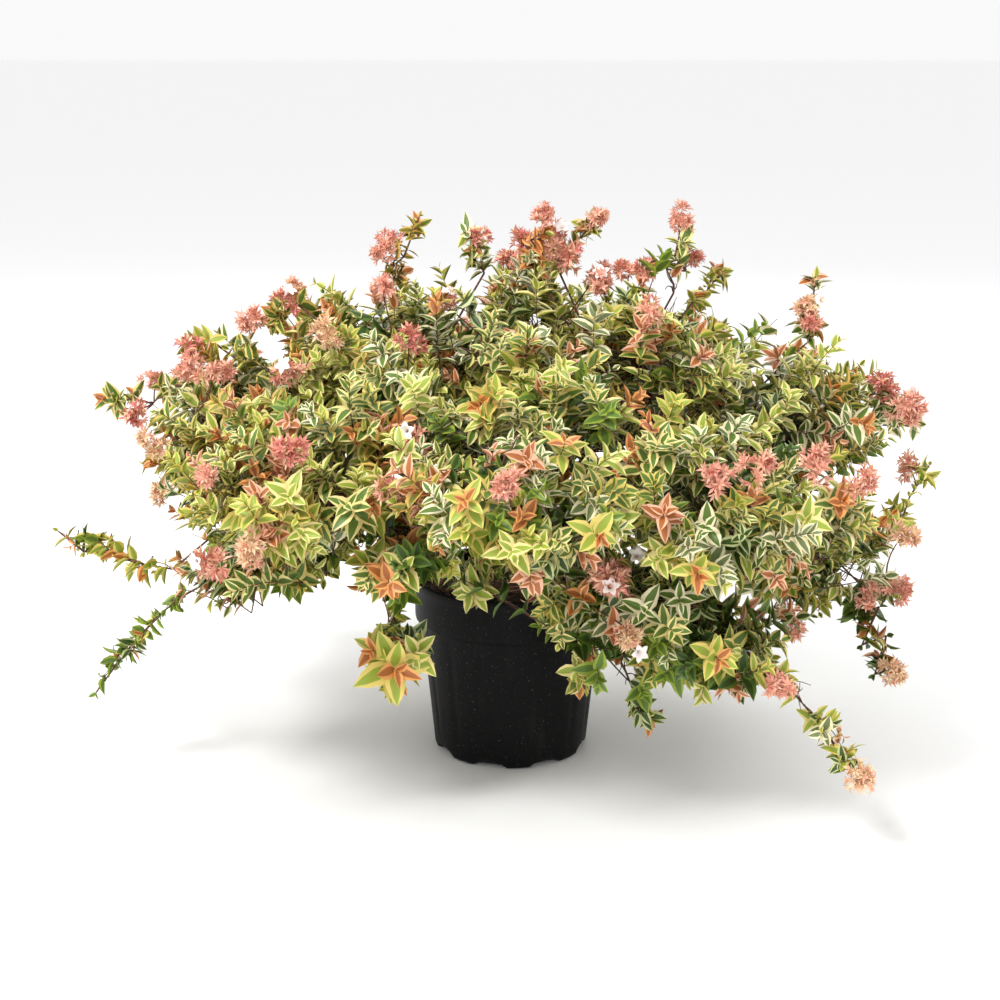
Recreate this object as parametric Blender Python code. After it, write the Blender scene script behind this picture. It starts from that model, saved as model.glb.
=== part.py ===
"""A variegated abelia in a black nursery pot, in metres with +Z up.

The origin is the middle of the pot's flat underside, and the plant's best side faces -Y.
A short stem stands on the potting mix and forks into boughs. Each bough arches out and
ends where it enters a mass of foliage, and long leafy shoots reach past the masses to
the crown's highest and furthest tips.
"""

import math

import bmesh
import bpy
import numpy as np
from mathutils import Vector

# Space left between neighbours, and how far a cutter stands off the solid that it is made from
GAP = 0.0003
CUTTER_GROWTH = 0.0004

# Pot
POT_HEIGHT = 0.220
POT_SIDES = 32
RIM_RADIUS = 0.1185
LIP_HEIGHT = 0.005
COLLAR_DEPTH = 0.052
COLLAR_FOOT_RADIUS = 0.1165
COLLAR_SLOPE = 0.003
WALL_TOP_RADIUS = 0.1140
FOOT_RADIUS = 0.0940
FOOT_ROUND = 0.012
WALL = 0.0025
FLOOR = 0.003

# Drain notches that scallop the pot's foot
NOTCHES = 8
NOTCH_DEPTH = 0.008
NOTCH_HALF_ANGLE = math.radians(13)
FIRST_NOTCH = math.radians(253)

# Potting mix
SOIL_TOP = 0.198
SOIL_BOTTOM = 0.016
SOIL_FLAT_RADIUS = 0.034
SOIL_SWELL = 0.003

# Stem, from its flat cut on the potting mix to its fork
STEM_HEIGHT = 0.066
STEM_FLARE_RADIUS = 0.026
STEM_RADIUS = 0.0145
STEM_TOP_RADIUS = 0.0105
STEM_FLARE_HEIGHT = 0.016
STEM_LEAN = (0.07, 0.04)
STEM_CROWN = 0.002
STEM_SIDES = 12
FLARE_LOBES = 5

# Boughs and shoots
LIMB_SIDES = 6
LIMB_RINGS = 8
BOUGH_FOOT_RADIUS = 0.0040
BOUGH_TIP_RADIUS = 0.0021
BOUGH_REACH_SHARE = 0.45
SHOOT_UNEVEN = 0.13

# Foliage masses
MASS_SIDES = 14
MASS_RINGS = 8
MASS_FULLNESS = 1.10
MASS_BUMPS = 14
BUMP_HEIGHT = 0.42
BUMP_SPREAD = 0.36

# Each row: name, azimuth, reach, height, half length, half width, half thickness, droop.
# Azimuths and droops are in degrees. 0 is the right side, 90 the back, 270 the front.
MASSES = (
    ("crest_middle", 75, 0.025, 0.502, 0.100, 0.100, 0.078, 0),
    ("crest_right", 352, 0.185, 0.488, 0.110, 0.130, 0.075, 10),
    ("crest_back", 88, 0.190, 0.470, 0.110, 0.140, 0.078, 12),
    ("crest_left", 184, 0.170, 0.492, 0.115, 0.130, 0.075, 10),
    ("crest_front", 272, 0.165, 0.455, 0.100, 0.135, 0.070, 18),
    ("shoulder_right", 0, 0.340, 0.405, 0.105, 0.105, 0.078, 14),
    ("shoulder_right_front", 318, 0.315, 0.365, 0.125, 0.120, 0.080, 18),
    ("shoulder_front", 270, 0.295, 0.392, 0.110, 0.120, 0.063, 18),
    ("shoulder_left_front", 222, 0.310, 0.380, 0.125, 0.120, 0.080, 16),
    ("shoulder_left", 178, 0.312, 0.412, 0.112, 0.105, 0.078, 12),
    ("shoulder_left_back", 135, 0.305, 0.395, 0.125, 0.120, 0.085, 16),
    ("shoulder_back", 92, 0.320, 0.380, 0.110, 0.120, 0.085, 18),
    ("shoulder_right_back", 48, 0.310, 0.395, 0.125, 0.120, 0.085, 16),
    ("skirt_right", 348, 0.350, 0.275, 0.095, 0.095, 0.075, 22),
    ("skirt_right_front", 314, 0.290, 0.225, 0.105, 0.085, 0.070, 26),
    ("skirt_front_right", 294, 0.225, 0.255, 0.085, 0.075, 0.060, 30),
    ("skirt_front_left", 239, 0.245, 0.312, 0.080, 0.075, 0.045, 20),
    ("skirt_left", 203, 0.310, 0.280, 0.105, 0.105, 0.060, 18),
    ("skirt_left_back", 146, 0.295, 0.265, 0.105, 0.100, 0.070, 22),
    ("skirt_back", 95, 0.285, 0.245, 0.095, 0.105, 0.070, 25),
    ("skirt_right_back", 43, 0.300, 0.260, 0.105, 0.105, 0.070, 22),
)

# Each row: mass that the bough enters, height on the stem, angle above level as it leaves
BOUGHS = (
    ("crest_left", 0.050, 64),
    ("crest_right", 0.050, 64),
    ("crest_back", 0.050, 64),
    ("shoulder_front", 0.036, 50),
    ("shoulder_right", 0.036, 50),
    ("shoulder_left", 0.036, 50),
    ("shoulder_left_front", 0.020, 42),
    ("shoulder_left_back", 0.036, 50),
    ("shoulder_right_back", 0.036, 50),
    ("skirt_right_front", 0.018, 36),
    ("skirt_left_back", 0.018, 36),
    ("skirt_right_back", 0.018, 36),
)

# Each row: name, mass that it grows from, tip, upward arch, radius along it, radius of its head
SHOOTS = (
    ("spike_left", "crest_left", (-0.105, 0.020, 0.655), 0.00, 0.012, 0.016),
    ("spike_back_left", "crest_middle", (-0.057, 0.060, 0.630), 0.00, 0.011, 0.014),
    ("spike_middle", "crest_middle", (0.037, -0.020, 0.655), 0.00, 0.013, 0.017),
    ("spike_middle_right", "crest_middle", (0.097, 0.030, 0.644), 0.01, 0.013, 0.017),
    ("spike_right", "crest_right", (0.195, -0.010, 0.630), 0.01, 0.014, 0.019),
    ("spike_right_slim", "crest_right", (0.256, 0.050, 0.585), 0.01, 0.012, 0.014),
    ("spike_far_right", "shoulder_right", (0.364, 0.050, 0.575), -0.02, 0.012, 0.015),
    ("tuft_crest_left", "crest_left", (-0.290, -0.020, 0.536), 0.02, 0.016, 0.023),
    ("tuft_shoulder_left", "shoulder_left", (-0.376, 0.010, 0.500), 0.01, 0.018, 0.022),
    ("tip_left", "shoulder_left", (-0.483, -0.005, 0.430), 0.02, 0.020, 0.018),
    ("trailer_left_upper", "skirt_left", (-0.538, -0.060, 0.290), -0.03, 0.013, 0.012),
    ("trailer_left_lower", "skirt_left", (-0.492, -0.110, 0.103), 0.03, 0.011, 0.011),
    ("tip_right", "shoulder_right", (0.486, -0.020, 0.412), 0.02, 0.020, 0.024),
    ("sprig_right", "skirt_right", (0.505, -0.010, 0.360), -0.05, 0.015, 0.016),
    ("tuft_right", "skirt_right", (0.450, -0.110, 0.225), 0.01, 0.017, 0.022),
    ("trailer_right", "skirt_right", (0.436, -0.155, 0.140), 0.03, 0.015, 0.022),
    ("trailer_right_low", "skirt_right_front", (0.372, -0.300, 0.085), 0.03, 0.017, 0.024),
    ("trailer_front_left", "skirt_front_left", (-0.134, -0.205, 0.132), 0.00, 0.012, 0.034),
    ("trailer_front_right", "skirt_front_right", (0.078, -0.145, 0.120), 0.00, 0.017, 0.020),
    ("trailer_front_low", "skirt_front_right", (0.155, -0.225, 0.103), 0.00, 0.019, 0.020),
    ("tuft_rim", "shoulder_front", (-0.045, -0.150, 0.235), 0.00, 0.018, 0.026),
    ("spike_back", "crest_back", (0.020, 0.200, 0.580), 0.01, 0.013, 0.016),
    ("trailer_back_left", "skirt_left_back", (-0.365, 0.290, 0.170), 0.04, 0.015, 0.019),
    ("trailer_back_right", "skirt_right_back", (0.340, 0.310, 0.165), 0.04, 0.015, 0.019),
)

# Colour, roughness and metallic value of each material
FINISHES = {
    "pot_plastic": ((0.012, 0.012, 0.013), 0.42, 0.0),
    "potting_mix": ((0.045, 0.030, 0.020), 0.95, 0.0),
    "bark": ((0.130, 0.070, 0.045), 0.80, 0.0),
    "foliage": ((0.260, 0.330, 0.070), 0.60, 0.0),
    "young_shoots": ((0.520, 0.260, 0.120), 0.60, 0.0),
}


def clear_scene():
    """Removes every object that the file opened with."""
    for thing in list(bpy.data.objects):
        bpy.data.objects.remove(thing, do_unlink=True)


def make_materials():
    """One Principled material for each finish, by name."""
    made = {}
    for name, (colour, roughness, metallic) in FINISHES.items():
        material = bpy.data.materials.new(name)
        material.use_nodes = True
        shader = material.node_tree.nodes["Principled BSDF"]
        shader.inputs["Base Color"].default_value = (*colour, 1.0)
        shader.inputs["Roughness"].default_value = roughness
        shader.inputs["Metallic"].default_value = metallic
        made[name] = material
    return made


def add_object(name, points, faces, material=None):
    """A mesh object at the origin, made of points and faces."""
    mesh = bpy.data.meshes.new(name)
    mesh.from_pydata([tuple(point) for point in points], [], faces)
    mesh.update()
    if material:
        mesh.materials.append(material)
    thing = bpy.data.objects.new(name, mesh)
    bpy.context.collection.objects.link(thing)
    return thing


def skin(first_pole, rings, last_pole):
    """Points and faces of a closed skin: a pole, rings of equal length, and a pole.

    The rings run anticlockwise seen from the last pole's side, so that the faces point out.
    """
    count, sides = len(rings), len(rings[0])
    points = [np.asarray(first_pole)] + [point for ring in rings for point in ring]
    points.append(np.asarray(last_pole))
    last = len(points) - 1
    faces = []
    for side in range(sides):
        beside = (side + 1) % sides
        faces.append((0, 1 + beside, 1 + side))
        top = 1 + (count - 1) * sides
        faces.append((last, top + side, top + beside))
        for ring in range(count - 1):
            low, high = 1 + ring * sides, 1 + (ring + 1) * sides
            faces.append((low + side, low + beside, high + beside))
            faces.append((low + side, high + beside, high + side))
    return points, faces


def bezier(start, bend, end, steps):
    """Points on a quadratic curve that leaves start towards bend and arrives at end."""
    t = np.linspace(0.0, 1.0, steps)[:, None]
    return (1 - t) ** 2 * start + 2 * t * (1 - t) * bend + t**2 * end


def limb_rings(path, radii, sides, uneven, seed):
    """Rings of a limb round a path. A steady side direction keeps them from twisting."""
    angles = np.linspace(0, 2 * math.pi, sides, endpoint=False)
    random = np.random.default_rng(seed)
    phases = random.uniform(0, 2 * math.pi, len(path))
    ahead = np.gradient(path, axis=0)
    ahead /= np.linalg.norm(ahead, axis=1)[:, None]
    run = path[-1] - path[0]
    across = np.cross(run, (0.0, 0.0, 1.0))
    if np.linalg.norm(across) < 0.3 * np.linalg.norm(run):
        across = np.array((0.0, 1.0, 0.0))
    rings = []
    for point, forward, radius, phase in zip(path, ahead, radii, phases):
        side = across - forward * across.dot(forward)
        side /= np.linalg.norm(side)
        up = np.cross(forward, side)
        reach = radius * (1 + uneven * np.sin(2 * angles + phase))
        rings.append(
            point
            + np.outer(reach * np.cos(angles), side)
            + np.outer(reach * np.sin(angles), up)
        )
    return rings


def islands(shape):
    """The separate bodies of a bmesh, each as a set of vertices."""
    left = set(shape.verts)
    found = []
    while left:
        front = [left.pop()]
        body = set(front)
        while front:
            vertex = front.pop()
            for edge in vertex.link_edges:
                other = edge.other_vert(vertex)
                if other in left:
                    left.discard(other)
                    body.add(other)
                    front.append(other)
        found.append(body)
    return found


def trim(piece, cutters, keep_near):
    """Cuts a piece by its cutters and keeps the one body that lies nearest to a point."""
    for cutter in cutters:
        cut = piece.modifiers.new("trim", "BOOLEAN")
        cut.operation = "DIFFERENCE"
        cut.solver = "EXACT"
        cut.object = cutter
    graph = bpy.context.evaluated_depsgraph_get()
    cut_mesh = bpy.data.meshes.new_from_object(piece.evaluated_get(graph))
    piece.modifiers.clear()
    shape = bmesh.new()
    shape.from_mesh(cut_mesh)
    near = Vector(keep_near)
    bodies = sorted(islands(shape), key=lambda body: min((v.co - near).length for v in body))
    for body in bodies[1:]:
        bmesh.ops.delete(shape, geom=list(body), context="VERTS")
    shape.to_mesh(piece.data)
    shape.free()
    bpy.data.meshes.remove(cut_mesh)


def meet(piece, cutter):
    """Whether the boxes round two objects overlap."""
    boxes = []
    for thing in (piece, cutter):
        corners = np.array([vertex.co for vertex in thing.data.vertices])
        boxes.append((corners.min(axis=0), corners.max(axis=0)))
    (low, high), (other_low, other_high) = boxes
    return bool((low < other_high).all() and (other_low < high).all())


def round_point(radius, angle, height):
    """A point by its distance from the pot's axis, its azimuth and its height."""
    return np.array((radius * math.cos(angle), radius * math.sin(angle), height))


def notch_at(angle):
    """How deep a drain notch is at an azimuth, from 0 between notches to 1 in one."""
    spacing = 2 * math.pi / NOTCHES
    away = (angle - FIRST_NOTCH + spacing / 2) % spacing - spacing / 2
    if abs(away) >= NOTCH_HALF_ANGLE:
        return 0.0
    return 0.5 + 0.5 * math.cos(math.pi * away / NOTCH_HALF_ANGLE)


def pot_profile():
    """Radius, height and share of the drain notch for each ring, up the outside and down the inside."""
    collar_foot = POT_HEIGHT - COLLAR_DEPTH
    lip_inner = RIM_RADIUS - WALL - 0.001
    outside = [(FOOT_RADIUS - 2.2 * FOOT_ROUND, 0.0, 0.0)]
    for turn in (0.0, 0.5, 1.0):
        angle = turn * math.pi / 2
        radius = FOOT_RADIUS - FOOT_ROUND * (1 - math.sin(angle))
        outside.append((radius, FOOT_ROUND * (1 - math.cos(angle)), 1.0 - 0.4 * turn))
    rise = 3 * FOOT_ROUND
    slope = (WALL_TOP_RADIUS - FOOT_RADIUS) / collar_foot
    outside.append((FOOT_RADIUS + slope * rise, rise, 0.0))
    outside.append((WALL_TOP_RADIUS, collar_foot - COLLAR_SLOPE, 0.0))
    outside.append((COLLAR_FOOT_RADIUS, collar_foot, 0.0))
    outside.append((RIM_RADIUS - 0.0015, POT_HEIGHT - LIP_HEIGHT, 0.0))
    outside.append((RIM_RADIUS, POT_HEIGHT - 0.5 * LIP_HEIGHT, 0.0))
    outside.append((RIM_RADIUS - 0.001, POT_HEIGHT, 0.0))
    inside = [(lip_inner, POT_HEIGHT, 0.0)]
    inside.append((COLLAR_FOOT_RADIUS - WALL, collar_foot + COLLAR_SLOPE, 0.0))
    inside.append((WALL_TOP_RADIUS - WALL, collar_foot - 2 * COLLAR_SLOPE, 0.0))
    inside.append((FOOT_RADIUS + slope * rise - WALL, rise, 0.0))
    inside.append((FOOT_RADIUS - WALL, FOOT_ROUND, 0.6))
    inside.append((FOOT_RADIUS - FOOT_ROUND, FLOOR, 1.0))
    inside.append((FOOT_RADIUS - 2.2 * FOOT_ROUND, FLOOR, 0.0))
    return outside + inside


def make_pot(materials):
    """A moulded pot with a deep collar, a rolled lip and a foot scalloped by drain notches."""
    angles = np.linspace(0, 2 * math.pi, POT_SIDES, endpoint=False)
    rings = []
    for radius, height, share in pot_profile():
        ring = []
        for angle in angles:
            depth = NOTCH_DEPTH * share * notch_at(angle)
            ring.append(round_point(radius - depth, angle, height + depth))
        rings.append(ring)
    points, faces = skin((0, 0, 0), rings, (0, 0, FLOOR))
    pot = add_object("pot", points, faces, materials["pot_plastic"])
    pot.data.shade_smooth()
    pot.data.set_sharp_from_angle(angle=math.radians(35))


def inner_radius(height):
    """The pot's inner radius at a height between its foot's curve and its collar."""
    low, high = 3 * FOOT_ROUND, POT_HEIGHT - COLLAR_DEPTH - 2 * COLLAR_SLOPE
    slope = (WALL_TOP_RADIUS - FOOT_RADIUS) / (POT_HEIGHT - COLLAR_DEPTH)
    low_radius = FOOT_RADIUS + slope * low - WALL
    share = (height - low) / (high - low)
    return low_radius + share * (WALL_TOP_RADIUS - WALL - low_radius)


def make_soil(materials):
    """Potting mix that fills the pot, level round the stem and uneven further out."""
    sides = POT_SIDES // 2
    angles = np.linspace(0, 2 * math.pi, sides, endpoint=False)
    shoulder = POT_HEIGHT - COLLAR_DEPTH - 2 * COLLAR_SLOPE
    edge = inner_radius(shoulder) - GAP
    foot_edge = inner_radius(3 * FOOT_ROUND) - GAP
    rows = [
        (foot_edge - 2.4 * FOOT_ROUND, SOIL_BOTTOM, 0.0),
        (foot_edge, 3 * FOOT_ROUND, 0.0),
        (edge, shoulder, 0.0),
        (edge, SOIL_TOP, 0.4),
        (0.70 * edge, SOIL_TOP, 1.0),
        (0.48 * edge, SOIL_TOP, 0.7),
        (SOIL_FLAT_RADIUS, SOIL_TOP, 0.0),
    ]
    rings = []
    for radius, height, share in rows:
        swell = SOIL_SWELL * share * np.sin(3 * angles + 40 * radius)
        rings.append([round_point(radius, a, height + s) for a, s in zip(angles, swell)])
    points, faces = skin((0, 0, SOIL_BOTTOM), rings, (0, 0, SOIL_TOP))
    add_object("potting_mix", points, faces, materials["potting_mix"])


def stem_axis(height):
    """The middle of the leaning stem at a height above its foot."""
    foot = SOIL_TOP + GAP
    return np.array((STEM_LEAN[0] * height, STEM_LEAN[1] * height, foot + height))


def stem_skin(growth):
    """Points and faces of the stem: lobed root flare, tapering shaft and rounded fork."""
    angles = np.linspace(0, 2 * math.pi, STEM_SIDES, endpoint=False)
    rings = []
    for height in (0.0, 0.005, 0.012, 0.024, 0.045, STEM_HEIGHT - 0.006, STEM_HEIGHT):
        share = height / STEM_HEIGHT
        shaft = STEM_RADIUS + (STEM_TOP_RADIUS - STEM_RADIUS) * share
        flare = math.exp(-height / STEM_FLARE_HEIGHT * 2)
        lobes = 1 + 0.16 * flare * np.cos(FLARE_LOBES * angles)
        radius = (shaft + (STEM_FLARE_RADIUS - STEM_RADIUS) * flare) * lobes
        radius = radius * (0.72 if height == STEM_HEIGHT else 1.0) + growth
        middle = stem_axis(height + (growth if height else 0.0))
        rings.append([middle + round_point(r, a, 0) for r, a in zip(radius, angles)])
    top = stem_axis(STEM_HEIGHT + STEM_CROWN + growth)
    return skin(stem_axis(0.0), rings, top)


def make_stem(materials):
    """The stem, and a cutter a little larger than it for the boughs."""
    points, faces = stem_skin(0.0)
    stem = add_object("stem", points, faces, materials["bark"])
    stem.data.shade_smooth()
    grown_points, grown_faces = stem_skin(CUTTER_GROWTH)
    return add_object("stem_cutter", grown_points, grown_faces)


def mass_frame(azimuth, reach, height, droop):
    """A mass's middle and its three axes: outwards, sideways and up."""
    turn, tilt = math.radians(azimuth), math.radians(droop)
    middle = round_point(reach, turn, height)
    out = round_point(math.cos(tilt), turn, -math.sin(tilt))
    side = np.array((-math.sin(turn), math.cos(turn), 0.0))
    return middle, np.array((out, side, np.cross(out, side)))


def reach_towards(axes, halves, direction):
    """The distance from an ellipsoid's middle to its surface in a direction."""
    return 1.0 / np.linalg.norm((axes @ direction) / halves)


def mass_planes(number, frames):
    """Directions and distances of the planes that part one mass from all the others."""
    middle, axes, halves = frames[number]
    ways, limits = [], []
    for other, (far_middle, far_axes, far_halves) in enumerate(frames):
        if other == number:
            continue
        apart = far_middle - middle
        distance = np.linalg.norm(apart)
        way = apart / distance
        own = reach_towards(axes, halves, way)
        theirs = reach_towards(far_axes, far_halves, way)
        share = np.clip(0.5 + 0.5 * (own - theirs) / distance, 0.3, 0.7)
        ways.append(way)
        limits.append(distance * share - GAP / 2)
    return np.array(ways), np.array(limits)


def mass_rings(number, frames):
    """Rings of an uneven body whose sides are flat where it leans on its neighbours."""
    middle, axes, halves = frames[number]
    random = np.random.default_rng(100 + number)
    bumps = random.normal(size=(MASS_BUMPS, 3))
    bumps /= np.linalg.norm(bumps, axis=1)[:, None]
    heights = BUMP_HEIGHT * random.uniform(-0.7, 1.0, MASS_BUMPS)
    ways, limits = mass_planes(number, frames)
    angles = np.linspace(0, 2 * math.pi, MASS_SIDES, endpoint=False)

    def surface(polar, round_angle):
        local = np.array(
            (
                -math.cos(polar),
                math.sin(polar) * math.cos(round_angle),
                math.sin(polar) * math.sin(round_angle),
            )
        )
        along = (local * halves) @ axes
        length = np.linalg.norm(along)
        direction = along / length
        near = np.arccos(np.clip(bumps @ direction, -1, 1))
        length *= 1 + float(heights @ np.exp(-((near / BUMP_SPREAD) ** 2)))
        towards = np.maximum(ways @ direction, 1e-9)
        length = min(length, float((limits / towards).min()))
        return middle + direction * length

    steps = np.linspace(0, math.pi, MASS_RINGS + 2)
    rings = [[surface(polar, angle) for angle in angles] for polar in steps[1:-1]]
    return surface(0.0, 0.0), rings, surface(math.pi, 0.0)


def grown(points, middle, growth):
    """Points moved straight away from a middle by a small growth."""
    away = np.array(points) - middle
    lengths = np.linalg.norm(away, axis=1)[:, None]
    return middle + away * (1 + growth / lengths)


def make_masses(materials):
    """Every foliage mass, with its middle and a cutter a little larger than it, by name."""
    frames = []
    for _, azimuth, reach, height, *halves, droop in MASSES:
        middle, axes = mass_frame(azimuth, reach, height, droop)
        frames.append((middle, axes, MASS_FULLNESS * np.array(halves)))
    made = {}
    for number, row in enumerate(MASSES):
        name, middle = row[0], frames[number][0]
        points, faces = skin(*mass_rings(number, frames))
        add_object(f"foliage_{name}", points, faces, materials["foliage"])
        cutter_points = grown(points, middle, CUTTER_GROWTH)
        made[name] = (middle, add_object(f"{name}_cutter", cutter_points, faces))
    return made


def make_boughs(materials, stem_cutter, masses):
    """Arching boughs, each from the stem to the mass that it carries."""
    cutters = [cutter for _, cutter in masses.values()]
    for number, (target, height, leaving) in enumerate(BOUGHS):
        start, end = stem_axis(height), masses[target][0]
        span = end - start
        level = np.array((span[0], span[1], 0.0)) / np.hypot(span[0], span[1])
        angle = math.radians(leaving)
        leave = level * math.cos(angle) + np.array((0, 0, math.sin(angle)))
        bend = start + leave * BOUGH_REACH_SHARE * np.linalg.norm(span)
        path = bezier(start, bend, end, LIMB_RINGS)
        radii = np.linspace(BOUGH_FOOT_RADIUS, BOUGH_TIP_RADIUS, LIMB_RINGS)
        rings = limb_rings(path, radii, LIMB_SIDES, 0.0, number)
        points, faces = skin(path[0], rings, path[-1])
        bough = add_object(f"bough_{target}", points, faces, materials["bark"])
        near = [cutter for cutter in cutters if meet(bough, cutter)]
        trim(bough, [stem_cutter] + near, path[1])
        bough.data.shade_smooth()


def shoot_radii(along, head, steps):
    """A leafy shoot's radius: even, swelling into its head, and closing at its tip."""
    s = np.linspace(0.0, 1.0, steps)
    swell = np.clip((s - 0.55) / 0.25, 0, 1)
    swell = swell * swell * (3 - 2 * swell)
    radii = along + (head - along) * swell
    return radii * np.where(s > 0.99, 0.55, 1.0)


def make_shoots(materials, masses):
    """Leafy shoots that reach past the masses to the crown's furthest tips."""
    cutters = [cutter for _, cutter in masses.values()]
    for number, (name, source, tip, arch, along, head) in enumerate(SHOOTS):
        start, end = masses[source][0], np.array(tip)
        ahead = (end - start) / np.linalg.norm(end - start)
        last = end - ahead * 0.5 * head
        bend = 0.5 * (start + last) + np.array((0, 0, 2 * arch))
        path = bezier(start, bend, last, LIMB_RINGS)
        radii = shoot_radii(along, head, LIMB_RINGS)
        rings = limb_rings(path, radii, LIMB_SIDES, SHOOT_UNEVEN, 300 + number)
        points, faces = skin(path[0], rings, end)
        shoot = add_object(f"shoot_{name}", points, faces, materials["young_shoots"])
        trim(shoot, [cutter for cutter in cutters if meet(shoot, cutter)], end)


def main():
    clear_scene()
    materials = make_materials()
    make_pot(materials)
    make_soil(materials)
    stem_cutter = make_stem(materials)
    masses = make_masses(materials)
    make_boughs(materials, stem_cutter, masses)
    make_shoots(materials, masses)
    for cutter in [stem_cutter] + [cutter for _, cutter in masses.values()]:
        bpy.data.objects.remove(cutter, do_unlink=True)


main()
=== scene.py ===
"""Looks of a potted variegated abelia: pot, potting mix, limbs, twigs, leaves, blossom and stage."""
import math

import bmesh
import bpy
import numpy as np
from bpy.props import FloatProperty, FloatVectorProperty, IntProperty, PointerProperty
from mathutils.bvhtree import BVHTree
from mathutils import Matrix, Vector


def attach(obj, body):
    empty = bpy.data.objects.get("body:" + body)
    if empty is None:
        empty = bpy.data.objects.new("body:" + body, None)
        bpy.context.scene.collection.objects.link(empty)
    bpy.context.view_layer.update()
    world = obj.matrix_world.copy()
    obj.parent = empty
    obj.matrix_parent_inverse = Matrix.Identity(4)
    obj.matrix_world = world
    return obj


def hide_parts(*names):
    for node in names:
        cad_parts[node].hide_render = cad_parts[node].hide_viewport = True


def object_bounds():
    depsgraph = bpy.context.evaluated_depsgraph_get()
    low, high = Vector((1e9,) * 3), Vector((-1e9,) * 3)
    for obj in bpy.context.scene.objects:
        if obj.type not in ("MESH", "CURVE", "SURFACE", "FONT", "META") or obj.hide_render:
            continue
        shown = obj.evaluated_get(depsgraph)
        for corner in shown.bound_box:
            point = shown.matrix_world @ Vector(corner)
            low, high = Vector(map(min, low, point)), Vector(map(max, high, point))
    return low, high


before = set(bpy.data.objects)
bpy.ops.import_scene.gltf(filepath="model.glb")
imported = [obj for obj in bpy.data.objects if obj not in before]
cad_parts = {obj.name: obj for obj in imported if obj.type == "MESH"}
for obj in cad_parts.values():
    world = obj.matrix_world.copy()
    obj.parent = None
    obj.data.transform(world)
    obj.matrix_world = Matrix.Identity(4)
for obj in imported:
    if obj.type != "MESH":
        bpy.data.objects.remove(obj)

bl_info = {
    "name": "Potted variegated abelia",
    "version": (1, 0, 0),
    "blender": (4, 5, 0),
    "location": "3D View > Sidebar > Abelia",
    "description": "Grows leaves, twigs and blossom from the limbs of a packed potted shrub",
    "category": "Add Mesh",
}

CAD_BOX = [list(map(float, corner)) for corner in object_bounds()]
CAMERA_PLACE = np.array((-0.013, -2.1, 0.87))
CAMERA_PITCH = math.radians(14.9)
FOCAL_PIXELS = 1800.0
PICTURE_SIDE, PICTURE_MIDDLE = 1000, 500
SENSOR_WIDTH = 36
CROWN_HEART = np.array((0.0, 0.02, 0.30))
FORK = np.array((0.0, 0.0, 0.25))

# Growth: numbers of leaf pairs and branches, shares, and sizes in metres.
PAIRS_ON_SPRAY, PAIRS_INSIDE, PAIRS_ON_LONG_SHOOT, PAIRS_ON_SIDE_SHOOT, PAIRS_ON_STAR = 8, 5, 3, 4, 6
BRANCHES_PER_MASS = 9
HUB_SHARE, NODE_SHARE = 0.45, 0.62
SIDE_SHOOT_LENGTH, STAR_LENGTH = 0.05, 0.034
AREA_PER_SIDE_SHOOT = 0.0011
CLEAR_WAY, LIFT_OFF, TUCKED_IN = 0.05, 0.002, 0.014
# A shoot's direction: shares of the surface's normal, the way out of the crown, the way up and chance.
ALONG_NORMAL, OUT_OF_CROWN, UPWARD, BY_CHANCE, LEAST_FACING = 0.55, 0.55, np.array((0, 0, 0.42)), 0.30, 0.55
# How far tips may pass the CAD box in front and behind, and stay below its top.
PAST_FRONT, PAST_BACK, TIPS_BELOW_TOP, HEADS_BELOW_TOP = 0.008, 0.010, 0.004, 0.003
LEAF_SECTORS = 8
CALYCES_LEAST, CALYCES_PER_METRE, SEPALS, HEAD_LOBES, HEAD_TINTS, STRAY_TINTS = 22, 620, 5, 4, 4, 0.22
# Twig radii at the thick and the thin end.
BOUGH_TWIG, MASS_TWIG, SPRAY_TWIG = (0.0024, 0.0019), (0.0018, 0.0012), (0.0011, 0.0009)
SPRAY_STEM, LONG_TWIG, LONG_STEM = (0.0009, 0.0004), (0.0018, 0.0014), (0.0014, 0.0011)
STAR_STALK, HEAD_STALK, FLOWER_STALK = (0.0012, 0.0010), (0.0013, 0.0008), (0.0008, 0.0006)

# Pot and potting mix, in metres.
NOTCHES, FIRST_NOTCH, NOTCH_HALF_ANGLE, NOTCH_DEPTH = 8, math.radians(253), math.radians(13), 0.008
FLUTES, FLUTE_DEPTH = 16, 0.0011
POT_TURNS, MIX_TURNS = 224, 110
OUTER_RINGS = 27
SOIL_RADIUS, SOIL_EDGE, SOIL_TOP = 0.1132, 0.1965, 0.2008
CHIPS, CHIP_SPREAD = 420, 0.108
BARK_RELIEF, BARK_FOOT = 0.00035, 0.2015
POT_PROFILE = (
    (0, 0.0), (0.050, 0.0), (0.080, 0.0), (0.0885, 0.0006), (0.0925, 0.0026), (0.0940, 0.0065),
    (0.0946, 0.012), (0.0956, 0.022), (0.0982, 0.048), (0.1010, 0.076), (0.1040, 0.104),
    (0.1070, 0.132), (0.1095, 0.152), (0.1108, 0.1615), (0.1122, 0.1655), (0.1148, 0.1668),
    (0.1163, 0.1676), (0.1168, 0.1700), (0.1169, 0.178), (0.1173, 0.190), (0.1177, 0.202),
    (0.1179, 0.2085), (0.1185, 0.2105), (0.1186, 0.2150), (0.1182, 0.2185), (0.1170, 0.2199),
    (0.1156, 0.2196), (0.1148, 0.2180), (0.1145, 0.2120), (0.1141, 0.198), (0.1100, 0.166),
    (0.1000, 0.090), (0.0900, 0.016), (0, 0.014))

# Stage: lamps by name, place, power and width, where they aim, the floor's reach and the sky's strength.
LAMPS = (("key", (-1.4, -1.7, 2.9), 78, 0.9), ("fill", (2.2, -1.6, 1.8), 8, 2.0),
         ("back", (0.4, 2.4, 2.6), 30, 1.8))
LAMP_AIM = (0, 0, 0.35)
FLOOR_REACH, SKY_STRENGTH = 40, 0.95

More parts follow.
